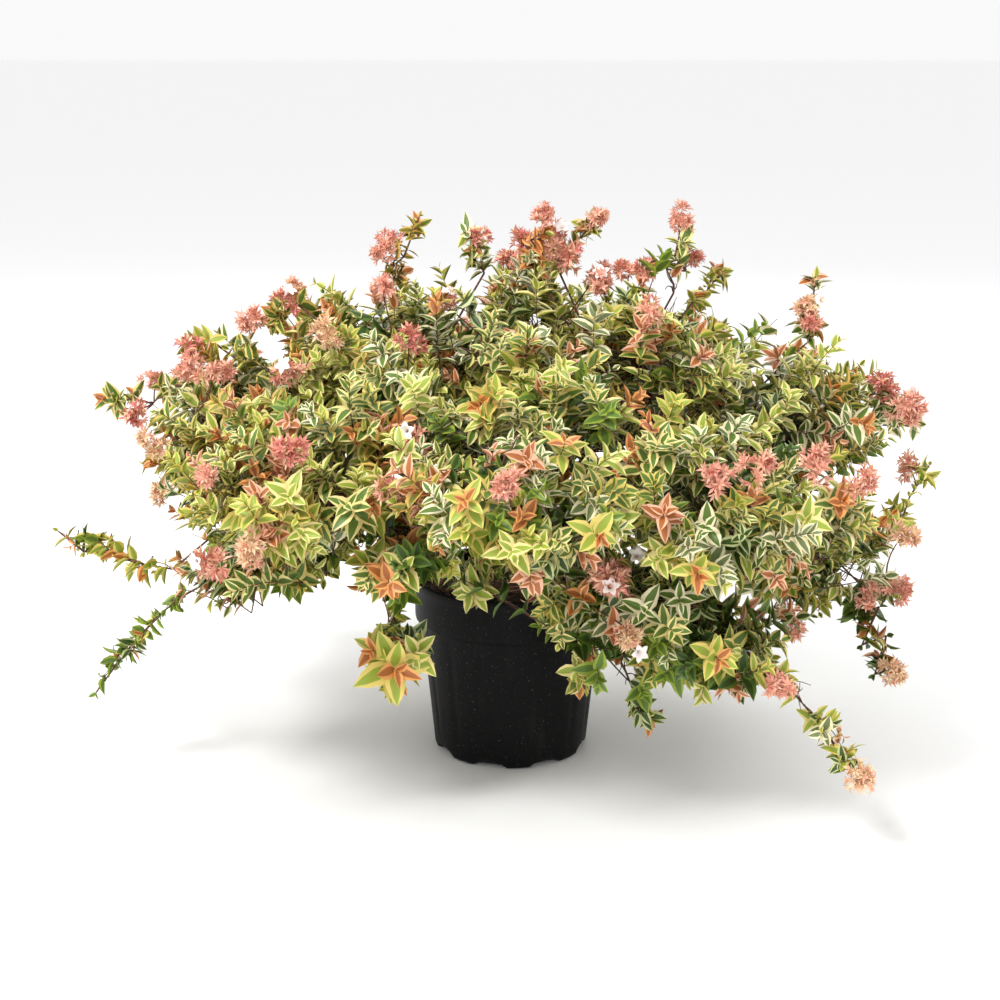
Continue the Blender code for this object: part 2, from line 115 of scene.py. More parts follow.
# Leaf colours (sRGB, 0-255), then the pairs of them for a leaf's middle and margin.
TINTS = {
    "deep_green": (56, 80, 26), "mid_green": (94, 122, 44), "grey_green": (116, 130, 82),
    "lime": (152, 170, 60), "olive": (140, 142, 56), "bronze": (172, 104, 52), "russet": (158, 92, 58),
    "cream": (246, 236, 196), "pale_yellow": (240, 224, 150), "yellow": (226, 206, 112),
    "gold": (226, 190, 104), "orange": (232, 166, 96), "blush": (238, 188, 156),
    "pale_green": (192, 198, 140),
}
TINT_NAMES = list(TINTS)
PAIRS = [("grey_green", "cream"), ("mid_green", "cream"), ("mid_green", "pale_yellow"),
         ("lime", "pale_yellow"), ("mid_green", "yellow"), ("olive", "gold"), ("lime", "yellow"),
         ("bronze", "orange"), ("deep_green", "pale_green"), ("deep_green", "mid_green"),
         ("bronze", "blush"), ("russet", "orange"), ("mid_green", "lime")]
# How often each pair is dealt out in each part of the crown, in the order of the names. The deep greens that
# the low and inside rows deal out are partly the leaves' own greener colour and partly painted shade of the
# crown's lower parts and inside.
RIGHT, LEFT, LOW, TOP, INSIDE = range(5)
LOW_DOWN, HIGH_UP = 0.02, 0.72
WEIGHTS = {
    "right": (.15, .22, .20, .13, .11, .02, .05, .01, .04, .01, .01, .00, .05),
    "left": (.03, .07, .15, .14, .19, .08, .14, .03, .04, .02, .02, .00, .09),
    "low": (.02, .04, .14, .10, .14, .02, .05, .01, .10, .14, .01, .00, .23),
    "top": (.07, .15, .20, .20, .15, .03, .10, .01, .02, .00, .02, .00, .05),
    "inside": (.00, .00, .03, .02, .04, .00, .00, .00, .31, .48, .00, .00, .12),
}
# Pairs of young leaves and how often each is dealt out, and the plainer pair round a rosette.
YOUNG_PAIRS, YOUNG_WEIGHTS = (7, 10, 11, 6, 3), (.22, .24, .04, .26, .24)
YOUNG_ON_LONG_SHOOT, ROUND_A_ROSETTE = (7, 10, 3), {7: 6, 11: 4}
# Places in the picture where the sky shows through the crown: across, down, radius, in pixels.
SKY = np.array((
    (367, 611, 24), (156, 539, 26), (193, 545, 16), (819, 680, 26), (845, 678, 16), (892, 475, 20),
    (667, 292, 22), (619, 677, 18), (725, 306, 18), (166, 589, 12), (192, 589, 10), (847, 574, 15),
    (273, 351, 15), (150, 401, 14), (534, 321, 11), (430, 251, 12), (291, 319, 9), (224, 523, 9),
    (777, 321, 9), (636, 364, 7), (452, 263, 8), (905, 442, 9), (800, 705, 11), (749, 654, 8)))
# Calyx heads: across, down, width in millimetres, colour.
HEADS = ((265, 321, 38, 0), (296, 300, 34, 3), (203, 365, 38, 0), (218, 385, 34, 1), (234, 378, 32, 0),
         (295, 376, 38, 1), (332, 341, 36, 3), (144, 418, 36, 2), (164, 445, 36, 3), (293, 469, 40, 2),
         (215, 484, 32, 0), (173, 491, 38, 3), (391, 265, 34, 0), (384, 300, 36, 0), (409, 347, 38, 2),
         (409, 439, 46, 1), (385, 500, 38, 1), (511, 491, 40, 0), (544, 212, 32, 0), (564, 259, 46, 1),
         (593, 284, 34, 0), (593, 225, 34, 1), (626, 280, 34, 0), (640, 267, 36, 0), (650, 320, 38, 1),
         (679, 235, 36, 0), (805, 327, 36, 2), (897, 416, 46, 0), (809, 471, 42, 0), (856, 492, 38, 1),
         (756, 474, 38, 1), (709, 480, 38, 0), (224, 558, 46, 1), (258, 543, 38, 3), (602, 574, 56, 1),
         (624, 625, 38, 3), (891, 539, 38, 3), (889, 592, 38, 0), (860, 596, 34, 1), (787, 617, 40, 1),
         (770, 682, 38, 0), (887, 670, 38, 3), (854, 768, 36, 3))
# Stars of bronze or lime young leaves: across, down, leaf length in millimetres, pair of tints.
STARS = ((479, 410, 34, 7), (562, 447, 32, 7), (528, 465, 30, 10), (466, 504, 34, 7), (595, 537, 34, 7),
         (664, 515, 30, 10), (697, 572, 34, 7), (717, 660, 34, 7), (883, 394, 30, 10), (395, 668, 52, 7),
         (376, 652, 38, 7), (414, 656, 38, 3), (598, 676, 36, 12), (640, 690, 36, 12),
         (109, 402, 30, 11), (472, 594, 38, 3), (530, 577, 32, 10), (401, 574, 34, 3), (801, 523, 40, 3),
         (290, 500, 34, 3), (679, 605, 33, 1), (430, 634, 36, 8))
# White flowers: across, down.
FLOWERS = ((632, 566), (626, 645), (606, 592), (300, 372), (566, 246), (898, 404), (414, 430), (218, 552))


class AbeliaSettings(bpy.types.PropertyGroup):
    """Sizes and colours that a user would change."""
    seed: IntProperty(name="Seed", description="Start of the seeded branching rule", default=11, min=0)
    sprays: IntProperty(name="Sprays", description="Leafy shoots at the crown's surface", default=2450,
                        min=100)
    inner_sprays: IntProperty(name="Inner sprays", description="Dark shoots inside the crown", default=420,
                              min=0)
    leaf_length: FloatProperty(name="Leaf length", description="Length of a full-grown leaf", default=0.0275,
                               subtype="DISTANCE", unit="LENGTH")
    leaf_width: FloatProperty(name="Leaf width", description="Width as a share of the length", default=0.55,
                              subtype="FACTOR")
    shoot_length: FloatProperty(name="Shoot length", description="Length of a leafy shoot", default=0.085,
                                subtype="DISTANCE", unit="LENGTH")
    pot_colour: FloatVectorProperty(name="Pot colour", description="Moulded black plastic", subtype="COLOR",
                                    default=(0.0035, 0.0035, 0.0038))
    bark_colour: FloatVectorProperty(name="Bark colour", description="Old wood", subtype="COLOR",
                                     default=(0.16, 0.085, 0.05))
    floor_colour: FloatVectorProperty(name="Floor colour", description="Pale floor", subtype="COLOR",
                                      default=(0.96, 0.96, 0.96))


def settings():
    """The scene's sizes and colours."""
    return bpy.context.scene.abelia


def unit(vectors):
    """Each vector divided by its length."""
    return vectors / np.maximum(np.linalg.norm(vectors, axis=-1, keepdims=True), 1e-9)


def linear(colour):
    """sRGB numbers from 0 to 255 as the linear colour a shader takes."""
    share = np.asarray(colour, float) / 255
    return tuple(np.where(share <= 0.04045, share / 12.92, ((share + 0.055) / 1.055) ** 2.4)) + (1.0,)


# Materials

class Value:
    """A shader socket that takes part in arithmetic: each operator adds one Math node."""

    def __init__(self, finish, socket):
        self.finish, self.socket = finish, socket

    def math(self, operation, *terms):
        """A Math node with this operation on the terms."""
        made = self.finish.node("ShaderNodeMath", {"operation": operation}, dict(enumerate(terms)))
        return Value(self.finish, made.outputs[0])

    def __add__(self, other): return self.math("ADD", self, other)
    def __radd__(self, other): return self.math("ADD", other, self)
    def __sub__(self, other): return self.math("SUBTRACT", self, other)
    def __rsub__(self, other): return self.math("SUBTRACT", other, self)
    def __mul__(self, other): return self.math("MULTIPLY", self, other)
    def __rmul__(self, other): return self.math("MULTIPLY", other, self)

    def above(self, level, softness):
        """0 below the level and 1 above it, with a soft step between."""
        return self.math("MULTIPLY", self.math("MINIMUM", self.math("MAXIMUM", self - level, 0.0), softness),
                         1.0 / softness)


class Finish:
    """A material built from nodes, with one Principled shader."""

    def __init__(self, name, **constants):
        self.material = bpy.data.materials.new(name)
        self.material.use_nodes = True
        self.tree = self.material.node_tree
        self.tree.nodes.clear()
        self.shader = self.node("ShaderNodeBsdfPrincipled", {}, constants)
        self.node("ShaderNodeOutputMaterial", {}, {"Surface": self.shader.outputs[0]})

    def node(self, kind, choices, sockets):
        """A node of this kind, with its choices set first and then its sockets' values or links."""
        made = self.tree.nodes.new(kind)
        for key, value in choices.items():
            setattr(made, key, value)
        for key, value in sockets.items():
            value = value.socket if isinstance(value, Value) else value
            if isinstance(value, bpy.types.NodeSocket):
                self.tree.links.new(value, made.inputs[key])
            else:
                made.inputs[key].default_value = value
        return made

    def noise(self, scale, detail=4.0, stretch=(1, 1, 1)):
        """Noise on Object coordinates, stretched along the axes."""
        place = self.node("ShaderNodeTexCoord", {}, {}).outputs["Object"]
        turned = self.node("ShaderNodeMapping", {}, {"Vector": place, "Scale": stretch}).outputs[0]
        made = self.node("ShaderNodeTexNoise", {}, {"Vector": turned, "Scale": scale, "Detail": detail})
        return Value(self, made.outputs[0])

    def mix(self, first, second, share):
        """A colour between two colours."""
        made = self.node("ShaderNodeMix", {"data_type": "RGBA"}, {0: share, 6: first, 7: second})
        return made.outputs[2]

    def dress(self, colour=None, roughness=None, height=None, depth=0.001, strength=0.6):
        """Links what changes over the surface: colour, roughness and a bump's height."""
        if colour is not None:
            self.tree.links.new(colour, self.shader.inputs["Base Color"])
        if roughness is not None:
            self.tree.links.new(roughness.socket, self.shader.inputs["Roughness"])
        if height is not None:
            relief = {"Height": height, "Distance": depth, "Strength": strength}
            bump = self.node("ShaderNodeBump", {}, relief)
            self.tree.links.new(bump.outputs[0], self.shader.inputs["Normal"])
        return self.material


def pot_finish():
    """Black plastic with fine grain, pale dust specks and soft upright scuffs."""
    finish = Finish("pot_plastic_finish", **{"Specular IOR Level": 0.10})
    black = tuple(settings().pot_colour) + (1.0,)
    dust = finish.noise(420.0, 2.0).above(0.67, 0.05)
    scuff = finish.noise(60.0, 5.0, (1, 1, 0.18)).above(0.56, 0.2)
    dusty = finish.mix(black, (0.014, 0.0135, 0.0125, 1), scuff * 0.6)
    colour = finish.mix(dusty, (0.14, 0.13, 0.11, 1), dust * 0.4)
    return finish.dress(colour, 0.50 + scuff * 0.2, finish.noise(900.0, 2.0), 0.0004, 0.25)


def mix_finish(name, dark, light):
    """Potting mix or bark chips: brown crumbs with a strong relief."""
    finish = Finish(name)
    crumbs = finish.noise(160.0, 6.0)
    colour = finish.mix(dark, light, crumbs.above(0.42, 0.25))
    return finish.dress(colour, 0.75 + crumbs * 0.2, crumbs, 0.002, 0.9)


def bark_finish(name, old, young, stretch):
    """Bark with upright streaks, paler blotches and fine fissures."""
    finish = Finish(name)
    streak, blotch = finish.noise(220.0, 6.0, stretch), finish.noise(45.0, 3.0)
    colour = finish.mix(finish.mix(old, young, streak.above(0.40, 0.3)), (0.30, 0.24, 0.17, 1),
                        blotch.above(0.58, 0.2) * 0.5)
    return finish.dress(colour, 0.62 + streak * 0.25, streak, 0.0015, 0.7)


def petal_finish(name, first, second, roughness=0.5):
    """Calyx or petal colour that drifts between two shades."""
    finish = Finish(name)
    drift = finish.noise(130.0, 2.0)
    colour = finish.mix(linear(first), linear(second), drift.above(0.38, 0.28))
    return finish.dress(colour, roughness + drift * 0.1)


def leaf_finishes():
    """One plain base colour for each tint that is dealt out to the sprays."""
    return [Finish("leaf_" + name, **{"Base Color": linear(colour), "Roughness": 0.46}).material
            for name, colour in TINTS.items()]


# Meshes

def add_piece(name, points, faces, materials, slot, replaced=(), index=None, smooth=True):
    """A mesh of triangles from whole arrays, riding on the one body, in place of the nodes named."""
    points, faces = np.asarray(points, np.float32).reshape(-1, 3), np.asarray(faces, np.int32).reshape(-1, 3)
    mesh = bpy.data.meshes.new(name)
    mesh.vertices.add(len(points))
    mesh.vertices.foreach_set("co", points.ravel())
    mesh.loops.add(faces.size)
    mesh.loops.foreach_set("vertex_index", faces.ravel())
    mesh.polygons.add(len(faces))
    mesh.polygons.foreach_set("loop_start", np.arange(0, faces.size, 3, dtype=np.int32))
    for material in materials:
        mesh.materials.append(material)
    if index is not None:
        mesh.polygons.foreach_set("material_index", np.asarray(index, np.int32))
    mesh.polygons.foreach_set("use_smooth", np.full(len(faces), smooth))
    mesh.update(calc_edges=True)
    if mesh.validate():
        raise RuntimeError(name + " has faces that aren't sound")
    piece = bpy.data.objects.new(name, mesh)
    bpy.context.scene.collection.objects.link(piece)
    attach(piece, "root")
    if len(replaced):
        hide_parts(*replaced)
    return piece


def joined(parts):
    """Several meshes as one: each part's faces count on from the points of those before it."""
    first = np.cumsum([0] + [len(points) for points, _ in parts])
    return np.vstack([p for p, _ in parts]), np.vstack([f + n for (_, f), n in zip(parts, first)])


def ring_faces(rings, turns):
    """Two triangles for each cell between neighbouring rings, facing away from their middle line."""
    here = np.arange(turns)
    after = (here + 1) % turns
    row = (np.arange(rings - 1) * turns)[:, None]
    a, b, c, d = row + here, row + after, row + turns + after, row + turns + here
    return np.concatenate((np.stack((a, b, c), -1).reshape(-1, 3), np.stack((a, c, d), -1).reshape(-1, 3)))


def repeated(one, points_each, count):
    """The faces of one small shape, repeated for count shapes of points_each points."""
    return one[None] + points_each * np.arange(count)[:, None, None]


def lathe(profile, turns, shift):
    """A closed body of revolution: each ring is a circle at its profile point, moved by shift(r, z, angle);
    the first and last profile points are the two poles on the axis."""
    profile = np.asarray(profile, float)
    angle = 2 * np.pi * np.arange(turns) / turns
    rings, here = len(profile) - 2, np.arange(turns)
    flat = np.zeros((rings, turns))
    radius, height = shift(profile[1:-1, 0, None] + flat, profile[1:-1, 1, None] + flat, angle[None])
    ring = np.stack((radius * np.cos(angle), radius * np.sin(angle), height), -1).reshape(-1, 3)
    poles = np.array(((0, 0, profile[0, 1]), (0, 0, profile[-1, 1])))
    after, last = (here + 1) % turns, (rings - 1) * turns
    low = np.stack((np.full(turns, rings * turns), after, here), -1)
    high = np.stack((np.full(turns, rings * turns + 1), last + here, last + after), -1)
    return np.vstack((ring, poles)), np.vstack((ring_faces(rings, turns), low, high))


def tubes(paths, radii, sides=3):
    """Tapering tubes: paths (tubes, rings, 3) carry rings of the given radii, square to each path."""
    along = unit(np.gradient(paths, axis=1))
    mean = unit(paths[:, -1] - paths[:, 0])
    aside = np.where(np.abs(mean[:, 2:3]) > 0.8, (1.0, 0, 0), (0, 0, 1.0))[:, None] + 0 * along
    across = unit(np.cross(along, aside))
    other = np.cross(along, across)
    angle = (2 * np.pi * np.arange(sides) / sides)[:, None]
    ring = np.cos(angle) * across[:, :, None] + np.sin(angle) * other[:, :, None]
    points = paths[:, :, None] + radii[:, :, None, None] * ring
    count, rings = paths.shape[:2]
    fan = np.array([(0, i, i + 1) for i in range(1, sides - 1)])
    one = np.vstack((ring_faces(rings, sides), fan[:, ::-1], fan + (rings - 1) * sides))
    return points.reshape(-1, 3), repeated(one, rings * sides, count).reshape(-1, 3)


def curve(start, middle, end, steps):
    """Quadratic curves through time 0..1: (1-t)^2 start + 2t(1-t) middle + t^2 end."""
    t = np.linspace(0, 1, steps)[None, :, None]
    return (1 - t) ** 2 * start[:, None] + 2 * t * (1 - t) * middle[:, None] + t ** 2 * end[:, None]


LEAF_T = np.r_[0.0, np.repeat((0.15, 0.42, 0.72), 5), 1.0]
LEAF_S = np.r_[0.0, np.tile((-1.0, -0.50, 0.0, 0.50, 1.0), 3), 0.0]
LEAF_HALF = np.interp(LEAF_T, (0, 0.15, 0.42, 0.72, 1), (0, 0.72, 1.0, 0.68, 0))


def leaf_faces():
    """Twenty-four triangles of one leaf, and which of them belong to its margin."""
    faces, margin = [], []
    for column in range(4):
        strip = [(0, 2 + column, 1 + column), (11 + column, 12 + column, 16)]
        for a in (1 + column, 6 + column):
            strip += [(a, a + 1, a + 6), (a, a + 6, a + 5)]
        faces += strip
        margin += [column in (0, 3)] * len(strip)
    return np.array(faces), np.array(margin)


def leaf_points(base, along, face, length, width, fold, curl):
    """Ovate, pointed leaves: half width follows LEAF_HALF over the length, the blade folds up from its
    midrib by fold times the distance from it, and bends back by curl times the square of the length."""
    along = unit(along)
    side = unit(np.cross(along, face))
    face = np.cross(side, along)
    across = LEAF_S * LEAF_HALF
    run = length[:, None] * LEAF_T
    reach = 0.5 * width[:, None] * across
    lift = fold[:, None] * np.abs(reach) - curl[:, None] * length[:, None] * LEAF_T ** 2
    return (base[:, None] + run[..., None] * along[:, None] + reach[..., None] * side[:, None]
            + lift[..., None] * face[:, None])


def bark_chips():
    """Chips: boxes with shifted corners, tilted, turned and strewn evenly over a disc."""
    rng = np.random.default_rng(settings().seed + 2)
    radius, angle = CHIP_SPREAD * np.sqrt(rng.random(CHIPS)), rng.uniform(0, 2 * np.pi, CHIPS)
    spans = ((.004, .013), (.002, .006), (.001, .003))
    size = np.stack([rng.uniform(low, high, CHIPS) for low, high in spans], -1)
    corners = np.array([(x, y, z) for z in (-.5, .5) for y in (-.5, .5) for x in (-.5, .5)])
    box = corners[None] * size[:, None] * rng.uniform(0.7, 1.2, (CHIPS, 8, 1))
    turn, tilt = rng.uniform(0, 2 * np.pi, (CHIPS, 1)), rng.normal(0, 0.3, (CHIPS, 1))
    x, y, z = box[..., 0], box[..., 1], box[..., 2]
    x, z = x * np.cos(tilt) + z * np.sin(tilt), z * np.cos(tilt) - x * np.sin(tilt)
    x, y = x * np.cos(turn) - y * np.sin(turn), x * np.sin(turn) + y * np.cos(turn)
    top = SOIL_TOP - 0.3 * radius ** 2 + 0.0006
    place = np.stack((radius * np.cos(angle), radius * np.sin(angle), top), -1)
    one = np.array(((0, 2, 3), (0, 3, 1), (4, 5, 7), (4, 7, 6), (0, 1, 5), (0, 5, 4),
                    (2, 6, 7), (2, 7, 3), (0, 4, 6), (0, 6, 2), (1, 3, 7), (1, 7, 5)))
    return np.stack((x, y, z), -1) + place[:, None], repeated(one, 8, CHIPS)


# Growth

def node_mesh(name):
    """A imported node's vertices and triangles as arrays."""
    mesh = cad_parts[name].data
    mesh.calc_loop_triangles()
    points, faces = np.empty(len(mesh.vertices) * 3), np.empty(len(mesh.loop_triangles) * 3, int)
    mesh.vertices.foreach_get("co", points)
    mesh.loop_triangles.foreach_get("vertices", faces)
    return points.reshape(-1, 3), faces.reshape(-1, 3)


def named(start):
    """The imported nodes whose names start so, in order."""
    return sorted(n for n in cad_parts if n.startswith(start))


def project(points):
    """Where points fall in the picture, in pixels: the share of focal length over depth, from the middle."""
    away = points - CAMERA_PLACE
    ahead = np.array((0, math.cos(CAMERA_PITCH), -math.sin(CAMERA_PITCH)))
    upward = np.array((0, math.sin(CAMERA_PITCH), math.cos(CAMERA_PITCH)))
    deep = away @ ahead
    return PICTURE_MIDDLE + FOCAL_PIXELS * np.stack((away[:, 0], -(away @ upward)), -1) / deep[:, None]


def sight(across, down):
    """Direction of a pixel's line of sight."""
    wide, tall = (across - PICTURE_MIDDLE) / FOCAL_PIXELS, (PICTURE_MIDDLE - down) / FOCAL_PIXELS
    level, steep = math.cos(CAMERA_PITCH), math.sin(CAMERA_PITCH)
    return unit(np.array((wide, level + tall * steep, tall * level - steep)))


def crown_tree():
    """All foliage and shoot surfaces as one search tree."""
    points, faces = joined([node_mesh(name) for name in named("foliage_") + named("shoot_")])
    return BVHTree.FromPolygons(points.tolist(), faces.tolist())


def on_crown(tree, across, down):
    """The crown's point under a pixel, or the nearest one to its line of sight, and its outward normal."""
    way = sight(across, down)
    place, normal, _, _ = tree.ray_cast(CAMERA_PLACE.tolist(), way.tolist())
    if place is None:
        tries = [tree.find_nearest((CAMERA_PLACE + way * d).tolist()) for d in np.arange(1.5, 2.7, 0.02)]
        place, normal, _, _ = min(tries, key=lambda hit: hit[3])
    return np.array(place), np.array(normal)


def surface(name, count, rng):
    """Random points spread evenly over a node's surface, with normals."""
    points, faces = node_mesh(name)
    a, b, c = points[faces[:, 0]], points[faces[:, 1]], points[faces[:, 2]]
    cross = np.cross(b - a, c - a)
    size = np.linalg.norm(cross, axis=1)
    pick = rng.choice(len(faces), count, p=size / size.sum())
    u, v = rng.random((2, count, 1))
    root = np.sqrt(u)
    return (1 - root) * a[pick] + root * (1 - v) * b[pick] + root * v * c[pick], unit(cross[pick])


def area(name):
    """A node's surface: half the cross product of two sides, over all its triangles."""
    points, faces = node_mesh(name)
    a, b, c = points[faces[:, 0]], points[faces[:, 1]], points[faces[:, 2]]
    return 0.5 * np.linalg.norm(np.cross(b - a, c - a), axis=1).sum()


def centreline(name, steps=7):
    """The middle line of a long shoot: means of its vertices in slices from its inner to its outer end."""
    points, _ = node_mesh(name)
    far = np.linalg.norm(points - CROWN_HEART, axis=1)
    way = points[far.argmax()] - points[far.argmin()]
    share = (points - points[far.argmin()]) @ way / (way @ way)
    edges = np.linspace(share.min(), share.max(), steps + 1)
    rows = [points[(share >= lo) & (share <= hi)] for lo, hi in zip(edges[:-1], edges[1:])]
    return np.array([r.mean(0) for r in rows if len(r)])


def bough_ends():
    """The outer end of each bough: the mean of the vertices beside its furthest one."""
    ends = []
    for name in named("bough_"):
        points, _ = node_mesh(name)
        far = points[np.linalg.norm(points - FORK, axis=1).argmax()]
        ends.append(points[np.linalg.norm(points - far, axis=1) < 0.006].mean(0))
    return np.array(ends)


def deal(places, rng, inside=False):
    """A pair of tints for each spray, by its part of the crown."""
    side = 1.5 * places[:, 0] + rng.normal(0, 0.18, len(places))
    high = (places[:, 2] - 0.25) / 0.35 + rng.normal(0, 0.15, len(places))
    chosen = np.where(side > 0, RIGHT, LEFT)
    # Low sprays and inside sprays get the rows whose deep greens are partly painted shade.
    chosen = np.where(high < LOW_DOWN, LOW, np.where(high > HIGH_UP, TOP, chosen))
    if inside:
        chosen[:] = INSIDE
    table = np.cumsum([np.array(w) / sum(w) for w in WEIGHTS.values()], 1)
    return (rng.random(len(places))[:, None] > table[chosen]).sum(1).clip(0, len(PAIRS) - 1)


class Growth:
    """The plan of the crown from one seed: leafy shoots, the branches that carry them, heads and flowers."""

    def __init__(self):
        self.sizes, self.rng = settings(), np.random.default_rng(settings().seed)
        self.tree, self.ends = crown_tree(), bough_ends()
        self.parts, self.branches = [], []
        masses, longs = named("foliage_"), named("shoot_")
        total = sum(area(name) for name in masses)
        for name in masses:
            self.fill_mass(name, area(name) / total)
        for name in longs:
            self.fill_long_shoot(name)
        stars = [self.star(*star) for star in STARS]
        self.heads = [(*self.placed(u, v, 0.014), width / 1000, tint) for u, v, width, tint in HEADS]
        for name in masses + longs:
            self.scatter_heads(name, 5 if name in masses else 1)
        self.flowers = [self.placed(u, v, 0.030) for u, v in FLOWERS]
        self.flowers += [(head[0] + 0.012 * head[1], unit(head[1] + self.rng.normal(0, 0.4, 3)))
                         for head in self.heads[len(HEADS)::7]]
        self.shoots = {key: np.concatenate([part[key] for part in self.parts]) for key in self.parts[0]}
        self.hold(stars, STAR_STALK)
        self.hold([head[:2] for head in self.heads], HEAD_STALK)
        self.hold([(place - 0.012 * way, way) for place, way in self.flowers], FLOWER_STALK)

    def branch(self, start, middle, end, radii):
        """One branch or several: where it starts, its middle and its end, and its two radii."""
        self.branches.append((np.atleast_2d(start), np.atleast_2d(middle), np.atleast_2d(end), radii))

    def sprays(self, tips, normals, starts, length, pair, tip_pair, pairs, size):
        """Leafy shoots that end at the tips. Their direction blends the surface's normal, the way out of the
        crown, the way up and chance; each starts where it is told, or its length inside the crown."""
        rng = self.rng
        low, high = CAD_BOX
        tips = np.column_stack((tips[:, 0], np.clip(tips[:, 1], low[1] - PAST_FRONT, high[1] + PAST_BACK),
                                np.minimum(tips[:, 2], high[2] - TIPS_BELOW_TOP)))
        outward = unit(tips - CROWN_HEART)
        chance = rng.normal(0, BY_CHANCE, tips.shape)
        way = unit(ALONG_NORMAL * normals + OUT_OF_CROWN * outward + UPWARD + chance)
        facing = (way * normals).sum(1, keepdims=True)
        way = unit(way + np.maximum(LEAST_FACING - facing, 0) * normals)
        root = self.tucked(tips - way * length[:, None]) if starts is None else starts
        sag = rng.normal(0, 0.004, tips.shape)
        middle = 0.5 * (root + tips) + np.array((0, 0, 0.12)) * length[:, None] + sag
        self.parts.append(dict(
            root=root, middle=middle, tip=tips, light=unit(normals + (0, 0, 0.9)), pair=pair,
            tip_pair=tip_pair, pairs=np.full(len(tips), pairs), size=size))
        return root

    def tucked(self, roots):
        """Roots that came out of the crown's surface, or close to it, are set inside it."""
        near = [self.tree.find_nearest(root.tolist())[:2] for root in roots]
        skin, out = np.array([hit[0][:] for hit in near]), np.array([hit[1][:] for hit in near])
        outside = ((roots - skin) * out).sum(1) > -0.004
        return np.where(outside[:, None], skin - TUCKED_IN * out, roots)

    def open_air(self, place, normal):
        """True where no other mass stands close in front of the surface."""
        return self.tree.ray_cast((place + LIFT_OFF * normal).tolist(), normal.tolist(), CLEAR_WAY)[0] is None

    def fill_mass(self, name, share):
        """Sprays at a mass's open surface, darker ones inside, and the branches from the nearest bough."""
        rng, sizes = self.rng, self.sizes
        heart = node_mesh(name)[0].mean(0)
        end = self.ends[np.linalg.norm(self.ends - heart, axis=1).argmin()]
        hub = heart + HUB_SHARE * (end - heart)
        count = max(8, int(1.9 * sizes.sprays * share))
        tips, normals = surface(name, count, rng)
        shown = np.array([self.open_air(place, normal) for place, normal in zip(tips, normals)])
        under = (normals[:, 2] < -0.50) & (rng.random(count) < 0.70)
        keep = shown & ~under & ~hollows(tips)
        tips, normals = tips[keep], normals[keep]
        count = len(tips)
        proud = (rng.random(count) < 0.16) & (normals[:, 2] > -0.3)
        depth = np.where(proud, -rng.uniform(0.008, 0.036, count), rng.uniform(-0.002, 0.030, count))
        tips = tips - normals * depth[:, None]
        pair = deal(tips, rng)
        young = rng.choice(YOUNG_PAIRS, count, p=YOUNG_WEIGHTS)
        tip_pair = np.where(rng.random(count) < 0.34, young, pair)
        length = sizes.shoot_length * rng.uniform(0.75, 1.3, count)
        size = sizes.leaf_length * rng.uniform(0.8, 1.15, count)
        roots = self.sprays(tips, normals, None, length, pair, tip_pair, PAIRS_ON_SPRAY, size)
        deep = rng.random(count) < sizes.inner_sprays / (sizes.sprays * 0.9)
        inner = tips[deep] - normals[deep] * rng.uniform(0.05, 0.10, (deep.sum(), 1))
        # Inside sprays sit deep in the mass and get the inside row's deep greens: partly the leaves' own
        # colour, partly painted shade of the crown's inside.
        dark = deal(inner, rng, True)
        size = sizes.leaf_length * rng.uniform(0.95, 1.2, len(inner))
        inner_roots = self.sprays(inner, normals[deep], None, length[deep], dark, dark, PAIRS_INSIDE, size)
        every = np.vstack((roots, inner_roots))
        nodes = every[rng.choice(len(every), min(BRANCHES_PER_MASS, len(every)), replace=False)]
        nodes = hub + NODE_SHARE * (nodes - hub)
        hubs = np.repeat(hub[None], len(nodes), 0)
        near = nodes[np.linalg.norm(every[:, None] - nodes[None], axis=2).argmin(1)]
        self.branch(end, 0.5 * (end + hub) + (0, 0, 0.012), hub, BOUGH_TWIG)
        self.branch(hubs, 0.5 * (nodes + hub) + (0, 0, 0.010), nodes, MASS_TWIG)
        self.branch(near, 0.5 * (near + every) + (0, 0, -0.004), every, SPRAY_TWIG)

    def fill_long_shoot(self, name):
        """Leaves along a long shoot's middle line, and side shoots out to its surface."""
        rng, leaf = self.rng, self.sizes.leaf_length
        line = centreline(name)
        end = self.ends[np.linalg.norm(self.ends - line[0], axis=1).argmin()]
        self.branch(end, 0.5 * (end + line[0]) + (0, 0, 0.01), line[0], LONG_TWIG)
        a, b = line[:-1], line[1:]
        pair = np.full(len(a), deal(line[-1:], rng)[0])
        self.sprays(b, unit(b - a), a, np.linalg.norm(b - a, axis=1), pair, pair, PAIRS_ON_LONG_SHOOT,
                    np.linspace(1.0, 0.75, len(a)) * leaf)
        self.branch(a, 0.5 * (a + b), b, LONG_STEM)
        count = max(6, int(area(name) / AREA_PER_SIDE_SHOOT))
        tips, normals = surface(name, count, rng)
        tips = tips - normals * rng.uniform(0.0, 0.012, (count, 1))
        at = np.maximum(np.linalg.norm(tips[:, None] - line[None], axis=2).argmin(1) - 1, 0)
        onward = line[np.minimum(at + 1, len(line) - 1)]
        roots = line[at] + rng.uniform(0, 1, (count, 1)) * (onward - line[at])
        own = np.where(rng.random(count) < 0.5, pair[0], deal(tips, rng))
        tip_pair = np.where(rng.random(count) < 0.4, rng.choice(YOUNG_ON_LONG_SHOOT, count), own)
        size = leaf * rng.uniform(0.65, 0.95, count)
        self.sprays(tips, normals, roots, np.full(count, SIDE_SHOOT_LENGTH), own, tip_pair,
                    PAIRS_ON_SIDE_SHOOT, size)

    def placed(self, across, down, lift):
        """A place in front of the crown under a pixel, lifted off it, and the way it faces."""
        place, normal = on_crown(self.tree, across, down)
        way = unit(normal + 0.7 * unit(place - CROWN_HEART) + np.array((0, -0.35, 0.35)))
        tip = place + lift * way
        tip[2] = min(tip[2], CAD_BOX[1][2] - HEADS_BELOW_TOP)
        return tip, way

